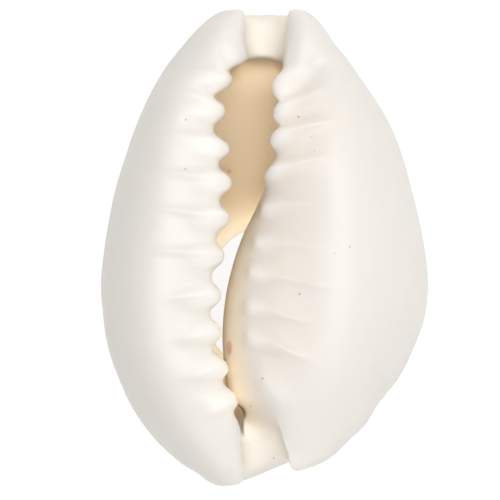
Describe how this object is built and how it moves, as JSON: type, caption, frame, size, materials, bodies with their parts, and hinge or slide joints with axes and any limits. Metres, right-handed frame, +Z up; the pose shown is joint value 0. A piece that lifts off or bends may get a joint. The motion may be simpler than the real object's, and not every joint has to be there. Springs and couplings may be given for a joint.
{
  "type": "cowrie shell",
  "caption": "Small white cowrie shell with its back ground off flat, resting on the cut with the toothed opening facing up.",
  "frame": {"origin": "bottom centre of the bounding box, on the plane of the ground-off back", "axes": "+Y towards the narrow front end with the straight canal, +X towards the inner (columellar) lip, +Z up out of the toothed opening"},
  "size_m": [0.0152, 0.022, 0.0098],
  "materials": {
    "white_shell": "polished natural shell, glossy white outside, cream inside"
  },
  "bodies": {
    "root": {"cowrie_shell": "white_shell"}
  },
  "joints": []
}
